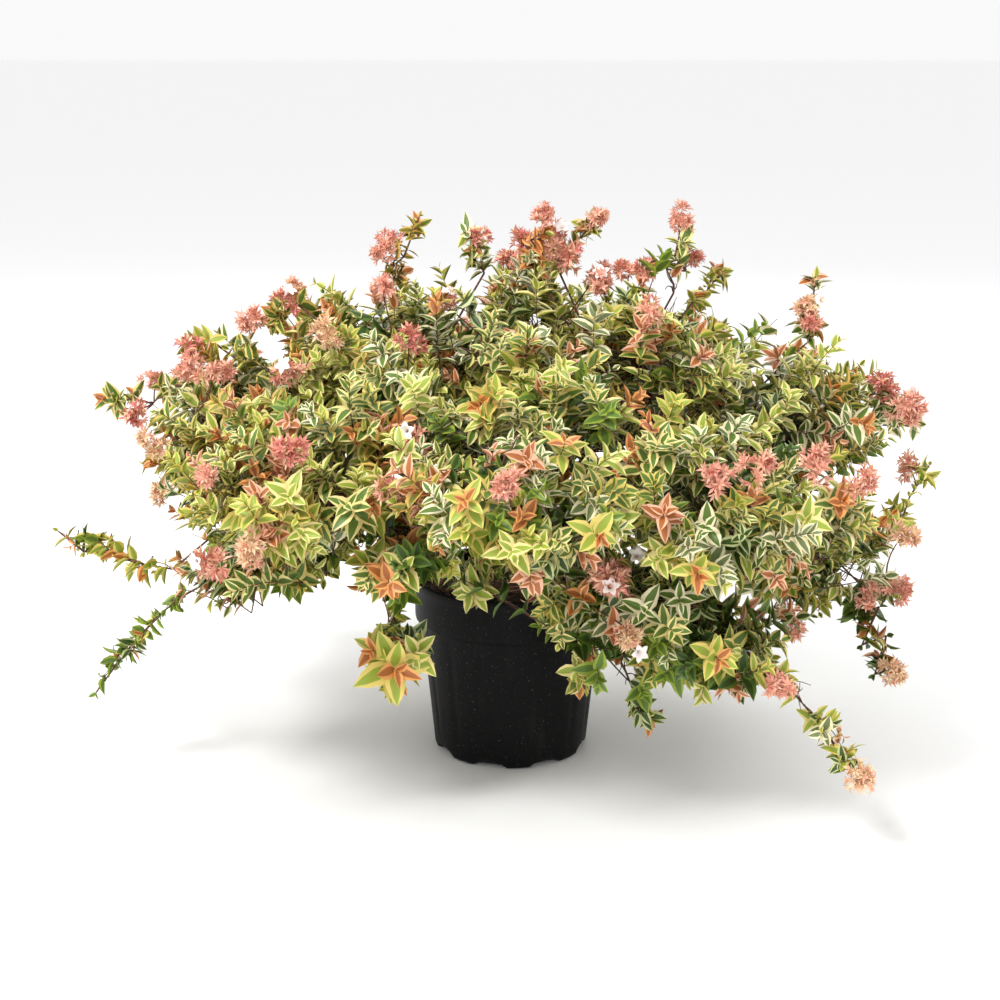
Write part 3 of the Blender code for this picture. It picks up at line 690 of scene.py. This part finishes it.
    def star(self, across, down, leaf, pair):
        """A short shoot of young leaves; it returns its foot and the way it faces."""
        tip, way = self.placed(across, down, 0.010)
        foot, outer = tip - STAR_LENGTH * way, ROUND_A_ROSETTE.get(pair, pair)
        self.sprays(tip[None], way[None], foot[None], np.array((STAR_LENGTH,)), np.array((outer,)),
                    np.array((pair,)), PAIRS_ON_STAR, np.array((0.84 * leaf / 1000,)))
        return foot, way

    def scatter_heads(self, name, count):
        """Calyx heads at the sides and back of a mass, where nothing stands in front of them."""
        rng = self.rng
        for tip, normal in zip(*surface(name, count, rng)):
            if tip[1] > -0.08 and normal[2] > -0.3 and self.open_air(tip, normal):
                way = unit(normal + (0, 0, 0.5))
                width, tint = rng.uniform(0.028, 0.042), int(rng.integers(0, HEAD_TINTS))
                self.heads.append((tip + 0.008 * way, way, width, tint))

    def hold(self, group, radii):
        """A stalk from the nearest shoot's root to each star, head or flower."""
        roots = self.shoots["root"][:-len(STARS)]
        at, way = np.array([g[0] for g in group]), np.array([g[1] for g in group])
        near = roots[np.array([np.linalg.norm(roots - q, axis=1).argmin() for q in at - 0.035 * way])]
        self.branch(near, 0.35 * near + 0.65 * at - 0.012 * way, at, radii)


def hollows(places):
    """True in the crown's hollows: where a sum of three slow waves is low, more so at the top and right."""
    x, y, z = places.T
    level = -0.75 + 0.55 * np.clip((z - 0.38) / 0.12, 0, 1) + 0.35 * np.clip((x - 0.25) / 0.15, 0, 1)
    return np.sin(47 * x + 1) + np.sin(53 * y + 2) + np.sin(61 * z + 3 * np.sin(31 * x)) < level


_grown = []


def grow():
    """The crown's plan, worked out the first time it is asked for."""
    if not _grown:
        _grown.append(Growth())
    return _grown[0]


def clear_of_sky(places):
    """False for what would stand in one of the picture's gaps."""
    seen = project(places)
    away = np.linalg.norm(seen[:, None] - SKY[None, :, :2], axis=2)
    return ~(away < SKY[None, :, 2]).any(1)


def spray_leaves():
    """Opposite leaves in crossed pairs along every shoot: they open to a wide angle low down and close
    towards the tip, and shrink there. Returns the points, the pair of tints and the base of each leaf."""
    shoots, rng = grow().shoots, np.random.default_rng(settings().seed + 1)
    out = []
    phase = rng.uniform(0, np.pi, len(shoots["tip"]))
    for k in range(PAIRS_ON_SPRAY):
        for half in (0, 1):
            on = np.nonzero(k < shoots["pairs"])[0]
            last = shoots["pairs"][on] - 1
            t = (0.20 + 0.80 * k / np.maximum(last, 1))[:, None]
            a, m, b = shoots["root"][on], shoots["middle"][on], shoots["tip"][on]
            base = (1 - t) ** 2 * a + 2 * t * (1 - t) * m + t ** 2 * b
            way = unit(2 * (1 - t) * (m - a) + 2 * t * (b - m))
            across = unit(np.cross(way, np.array((0.31, 0.22, 0.92))))
            other = np.cross(way, across)
            turn = (phase[on] + k * np.pi / 2 + half * np.pi + rng.normal(0, 0.28, len(on)))[:, None]
            radial = np.cos(turn) * across + np.sin(turn) * other
            share = (k / np.maximum(last, 1))[:, None]
            lean = np.radians(74 - 38 * share ** 1.5 + rng.normal(0, 9, (len(on), 1)))
            along = np.cos(lean) * way + np.sin(lean) * radial
            face = np.sin(lean) * way - np.cos(lean) * radial + 0.75 * shoots["light"][on]
            size = np.interp(share[:, 0], (0, .3, .6, .85, 1), (.80, 1.0, .95, .68, .46))
            length = shoots["size"][on] * size * rng.uniform(0.82, 1.18, len(on))
            width = length * settings().leaf_width * rng.uniform(0.88, 1.12, len(on))
            points = leaf_points(base, along, face, length, width, rng.uniform(0.15, 0.62, len(on)),
                                 rng.uniform(0.02, 0.30, len(on)))
            pair = np.where(share[:, 0] > 0.66, shoots["tip_pair"][on], shoots["pair"][on])
            keep = clear_of_sky(points[:, 8])
            out.append((points[keep], pair[keep], base[keep]))
    return [np.concatenate(parts) for parts in zip(*out)]


# Operators

class PieceOperator:
    """What the operators of the pieces share."""
    bl_options = {"REGISTER", "UNDO"}


class ABELIA_OT_pot(PieceOperator, bpy.types.Operator):
    """Moulded pot: a profile turned round the axis, with flutes in the wall and a scalloped foot"""
    bl_idname, bl_label = "abelia.pot", "Pot"

    def execute(self, context):
        def shift(radius, height, angle):
            """Flutes: the wall goes in by a bell curve round each flute's angle. Notches: the foot rises by
            an arch, one minus the square of the angle from the notch's middle as a share of its half."""
            outside = np.arange(len(POT_PROFILE) - 2)[:, None] < OUTER_RINGS
            flute = np.exp(-(((angle * FLUTES / (2 * np.pi) + 0.35) % 1 - 0.5) / 0.10) ** 2)
            wall = np.clip((height - 0.016) / 0.02, 0, 1) * np.clip((0.160 - height) / 0.012, 0, 1) * outside
            spacing = 2 * math.pi / NOTCHES
            turn = (angle - FIRST_NOTCH + spacing / 2) % spacing - spacing / 2
            arch = np.clip(1 - (turn / NOTCH_HALF_ANGLE) ** 2, 0, 1) ** 0.7
            foot = np.clip(1 - height / 0.030, 0, 1) * np.clip((radius - 0.078) / 0.010, 0, 1) * outside
            return radius - FLUTE_DEPTH * flute * wall, height + NOTCH_DEPTH * arch * foot

        points, faces = lathe(POT_PROFILE, POT_TURNS, shift)
        add_piece("nursery_pot", points, faces, [pot_finish()], "pot_plastic", ["pot"])
        return {"FINISHED"}


class ABELIA_OT_potting_mix(PieceOperator, bpy.types.Operator):
    """Uneven potting mix inside the rim, with bark chips strewn over it"""
    bl_idname, bl_label = "abelia.potting_mix", "Potting mix"

    def execute(self, context):
        rings = np.linspace(SOIL_RADIUS, 0.003, 34)
        swell = SOIL_EDGE + 0.004 * (1 - (rings / SOIL_RADIUS) ** 2)
        profile = [(0, 0.020), (0.088, 0.020), (0.1120, 0.190), *zip(rings, swell), (0, SOIL_TOP)]

        def shift(radius, height, angle):
            """Lumps: the top's height goes up and down by a sum of four sine waves across it."""
            x, y = radius * np.cos(angle), radius * np.sin(angle)
            lumps = (np.sin(310 * x + 2 * np.sin(170 * y)) + np.sin(270 * y + 2 * np.sin(210 * x))
                     + 0.7 * np.sin(620 * x + 480 * y) + 0.6 * np.sin(810 * y - 560 * x))
            return radius, height + 0.00065 * lumps * (height > 0.194)

        points, faces = lathe(profile, MIX_TURNS, shift)
        soil = mix_finish("potting_mix_finish", (0.020, 0.013, 0.009, 1), (0.115, 0.070, 0.042, 1))
        add_piece("potting_mix_surface", points, faces, [soil], "potting_mix", ["potting_mix"])
        chips = mix_finish("bark_chip_finish", (0.045, 0.024, 0.014, 1), (0.22, 0.13, 0.075, 1))
        add_piece("bark_chips", *bark_chips(), [chips], "potting_mix", smooth=False)
        return {"FINISHED"}


class ABELIA_OT_limbs(PieceOperator, bpy.types.Operator):
    """Stem and boughs as one mesh whose surface carries the bark's ridges"""
    bl_idname, bl_label = "abelia.limbs", "Stem and boughs"

    def execute(self, context):
        names = ["stem"] + named("bough_")
        points, faces = joined([node_mesh(name) for name in names])
        old = tuple(settings().bark_colour) + (1.0,)
        bark = bark_finish("bark_finish", old, (0.075, 0.038, 0.024, 1), (1, 1, 0.2))
        piece = add_piece("stem_and_boughs", points, faces, [bark], "bark", names)
        work = bmesh.new()
        work.from_mesh(piece.data)
        bmesh.ops.remove_doubles(work, verts=work.verts, dist=1e-6)
        bmesh.ops.subdivide_edges(work, edges=work.edges, cuts=3, use_grid_fill=True, smooth=0.35)
        bmesh.ops.triangulate(work, faces=work.faces)
        work.to_mesh(piece.data)
        work.free()
        mesh = piece.data
        place = np.empty(len(mesh.vertices) * 3, np.float32)
        normal = np.empty_like(place)
        mesh.vertices.foreach_get("co", place)
        mesh.vertices.foreach_get("normal", normal)
        place, normal = place.reshape(-1, 3), normal.reshape(-1, 3)
        x, y, z = place.T
        # Ridges: a product and a sum of sine waves, along the normals and only above the potting mix.
        ridge = np.sin(900 * x + 60 * z) * np.sin(840 * y - 45 * z)
        ridge += 0.5 * np.sin(2100 * x - 1900 * y + 90 * z)
        relief = ((z > BARK_FOOT) * BARK_RELIEF * ridge)[:, None]
        mesh.vertices.foreach_set("co", (place + relief * normal).astype(np.float32).ravel())
        mesh.update()
        return {"FINISHED"}


class ABELIA_OT_twigs(PieceOperator, bpy.types.Operator):
    """Branches and twigs from the bough ends to every leafy shoot and head"""
    bl_idname, bl_label = "abelia.twigs", "Twigs"

    def execute(self, context):
        plan, steps, parts = grow(), 5, []
        shoots = plan.shoots
        for start, middle, end, (thick, thin) in (
                *plan.branches, (shoots["root"], shoots["middle"], shoots["tip"], SPRAY_STEM)):
            radii = np.linspace(thick, thin, steps)[None] * np.ones((len(start), 1))
            parts.append(tubes(curve(start, middle, end, steps), radii))
        twig = bark_finish("twig_finish", (0.17, 0.075, 0.045, 1), (0.085, 0.030, 0.020, 1), (1, 1, 0.4))
        add_piece("twigs", *joined(parts), [twig], "bark")
        return {"FINISHED"}


class ABELIA_OT_leaves(PieceOperator, bpy.types.Operator):
    """Variegated leaves on every shoot, joined by sector of the crown"""
    bl_idname, bl_label = "abelia.leaves", "Leaves"

    def execute(self, context):
        points, pair, base = spray_leaves()
        one, margin = leaf_faces()
        finishes = leaf_finishes()
        middle = np.array([TINT_NAMES.index(a) for a, _ in PAIRS])
        edge = np.array([TINT_NAMES.index(b) for _, b in PAIRS])
        sector = ((np.arctan2(base[:, 1], base[:, 0]) / (2 * np.pi)) % 1 * LEAF_SECTORS).astype(int)
        sector %= LEAF_SECTORS
        owners = [[] for _ in range(LEAF_SECTORS)]
        for name in named("foliage_") + named("shoot_"):
            heart = node_mesh(name)[0].mean(0)
            turn = (math.atan2(heart[1], heart[0]) / (2 * math.pi)) % 1
            owners[int(turn * LEAF_SECTORS) % LEAF_SECTORS].append(name)
        for k in range(LEAF_SECTORS):
            here = sector == k
            faces = repeated(one, len(LEAF_T), int(here.sum()))
            index = np.where(margin[None], edge[pair[here]][:, None], middle[pair[here]][:, None]).ravel()
            name = "leaves_sector_%d" % (k + 1)
            add_piece(name, points[here], faces, finishes, "foliage", owners[k], index)
        return {"FINISHED"}


class ABELIA_OT_blossom(PieceOperator, bpy.types.Operator):
    """Heads of narrow five-parted calyces in corals, peach and pink"""
    bl_idname, bl_label = "abelia.blossom", "Calyx heads"

    def execute(self, context):
        # Calyces point out from four lobes of a head. Each has five sepals at equal turns that lean out
        # from its middle line; a sepal is four triangles over a foot, two shoulders, a middle and a tip.
        rng, heads = np.random.default_rng(settings().seed + 3), grow().heads
        parts, index = [], []
        one = np.array(((0, 1, 2), (0, 2, 3), (1, 4, 2), (2, 4, 3)))
        for place, way, width, tint in heads:
            count = int(CALYCES_LEAST + CALYCES_PER_METRE * width)
            out = unit(rng.normal(0, 1, (count, 3)) + 0.8 * way)
            lobes = place + rng.normal(0, 0.14, (HEAD_LOBES, 3)) * width
            lobe = lobes[rng.integers(0, HEAD_LOBES, count)]
            root = lobe + out * 0.20 * width * rng.uniform(0.2, 1.2, (count, 1))
            across = unit(np.cross(out, rng.normal(0, 1, (count, 3))))
            other = np.cross(out, across)
            angle = 2 * np.pi * np.arange(SEPALS) / SEPALS
            radial = np.cos(angle)[:, None] * across[:, None] + np.sin(angle)[:, None] * other[:, None]
            along = unit(out[:, None] * 0.75 + radial * 0.85)
            side = np.cross(along, unit(out[:, None] - 0.6 * radial))
            length = 0.27 * width * rng.uniform(0.8, 1.2, (count, SEPALS, 1))
            half = 0.15 * length
            lift = unit(np.cross(side, along)) * 0.12 * length
            foot, shoulder = root[:, None] + 0 * along, root[:, None] + along * 0.5 * length + lift
            parts.append(np.stack((foot, shoulder - side * half, foot + along * 0.55 * length,
                                   shoulder + side * half, foot + along * length), 2).reshape(-1, 5, 3))
            strays = rng.random(count * SEPALS) < STRAY_TINTS
            index.append(np.repeat(np.where(strays, (tint + 1) % HEAD_TINTS, tint), len(one)))
        points = np.concatenate(parts)
        faces = repeated(one, 5, len(points))
        finishes = [petal_finish("calyx_coral", (242, 184, 160), (230, 156, 136)),
                    petal_finish("calyx_salmon", (246, 200, 172), (238, 176, 148)),
                    petal_finish("calyx_deep_pink", (230, 152, 136), (214, 124, 114)),
                    petal_finish("calyx_peach", (246, 218, 178), (240, 196, 156))]
        add_piece("calyx_heads", points, faces, finishes, "young_shoots", index=np.concatenate(index))
        return {"FINISHED"}


class ABELIA_OT_flowers(PieceOperator, bpy.types.Operator):
    """White five-lobed funnels: rings whose radius dips between five lobes, more so towards the mouth"""
    bl_idname, bl_label = "abelia.flowers", "Flowers"

    def execute(self, context):
        turns, stations = 20, (0.0, 0.25, 0.55, 0.75, 0.9, 1.0)
        angle = (2 * np.pi * np.arange(turns) / turns)[:, None]
        lobe = 0.5 + 0.5 * np.cos(5 * angle.T)
        share = np.array(stations)[:, None]
        radius = np.array((.0006, .0016, .0028, .0050, .0085, .0110))[:, None] * (
            1 - 0.42 * share ** 4 * (1 - lobe))
        height = np.array((-.012, -.006, .0, .003, .0045, .0040))[:, None, None]
        parts = []
        for place, way in grow().flowers:
            across = unit(np.cross(way, (0.3, 0.9, 0.2)))
            spoke = np.cos(angle) * across + np.sin(angle) * np.cross(way, across)
            parts.append((place + radius[..., None] * spoke + height * way).reshape(-1, 3))
        inward = ring_faces(len(stations), turns)[:, ::-1]
        faces = repeated(inward, len(stations) * turns, len(parts))
        white = petal_finish("petal_white", (252, 248, 244), (248, 232, 228), 0.45)
        add_piece("flowers", np.concatenate(parts), faces, [white], "young_shoots")
        return {"FINISHED"}


class ABELIA_OT_stage(PieceOperator, bpy.types.Operator):
    """Pale floor, soft light and the camera at the picture's viewing angle"""
    bl_idname, bl_label = "abelia.stage", "Stage"

    def execute(self, context):
        scene = context.scene
        finish = Finish("floor_finish", Roughness=0.7)
        pale = tuple(settings().floor_colour) + (1.0,)
        finish.dress(finish.mix(pale, (0.93, 0.93, 0.93, 1), finish.noise(3.0, 2.0) * 0.3))
        mesh = bpy.data.meshes.new("floor")
        corners = [(x * FLOOR_REACH, y * FLOOR_REACH, 0) for x, y in ((-1, -1), (1, -1), (1, 1), (-1, 1))]
        mesh.from_pydata(corners, [], [(0, 1, 2, 3)])
        mesh.materials.append(finish.material)
        floor = bpy.data.objects.new("floor", mesh)
        scene.collection.objects.link(floor)
        world = bpy.data.worlds.new("soft_sky")
        world.use_nodes = True
        sky = world.node_tree.nodes["Background"]
        sky.inputs["Color"].default_value, sky.inputs["Strength"].default_value = (1, 1, 1, 1), SKY_STRENGTH
        scene.world = world
        for name, place, energy, size in LAMPS:
            light = bpy.data.lights.new(name, "AREA")
            light.energy, light.size = energy, size
            lamp = bpy.data.objects.new(name, light)
            way = np.array(place) - LAMP_AIM
            lamp.location = place
            lamp.rotation_euler = (math.atan2(math.hypot(way[0], way[1]), way[2]), 0,
                                   math.atan2(way[1], way[0]) + math.pi / 2)
            scene.collection.objects.link(lamp)
        camera = bpy.data.cameras.new("camera")
        camera.lens, camera.sensor_width = FOCAL_PIXELS * SENSOR_WIDTH / PICTURE_SIDE, SENSOR_WIDTH
        camera.sensor_fit = "HORIZONTAL"
        view = bpy.data.objects.new("camera", camera)
        view.location, view.rotation_euler = CAMERA_PLACE.tolist(), (math.pi / 2 - CAMERA_PITCH, 0, 0)
        scene.collection.objects.link(view)
        scene.camera = view
        scene.view_settings.view_transform = "Standard"
        return {"FINISHED"}


class ABELIA_PT_panel(bpy.types.Panel):
    """Lists the pieces in the 3D view's sidebar"""
    bl_label, bl_idname = "Potted abelia", "ABELIA_PT_panel"
    bl_space_type, bl_region_type, bl_category = "VIEW_3D", "UI", "Abelia"

    def draw(self, context):
        for name in AbeliaSettings.__annotations__:
            self.layout.prop(context.scene.abelia, name)
        for operator in OPERATORS:
            self.layout.operator(operator.bl_idname)


OPERATORS = (ABELIA_OT_pot, ABELIA_OT_potting_mix, ABELIA_OT_limbs, ABELIA_OT_twigs, ABELIA_OT_leaves,
             ABELIA_OT_blossom, ABELIA_OT_flowers, ABELIA_OT_stage)


def register():
    """Registers the settings, the operators and the panel."""
    for item in (AbeliaSettings, *OPERATORS, ABELIA_PT_panel):
        bpy.utils.register_class(item)
    bpy.types.Scene.abelia = PointerProperty(type=AbeliaSettings)


def unregister():
    """Takes them out again."""
    del bpy.types.Scene.abelia
    for item in reversed((AbeliaSettings, *OPERATORS, ABELIA_PT_panel)):
        bpy.utils.unregister_class(item)


def main():
    register()
    for operator in OPERATORS:
        name = operator.bl_idname.split(".")[1]
        if getattr(bpy.ops.abelia, name)() != {"FINISHED"}:
            raise RuntimeError("the operator for " + name + " didn't finish")
    bpy.context.view_layer.update()


if __name__ == "__main__":
    main()
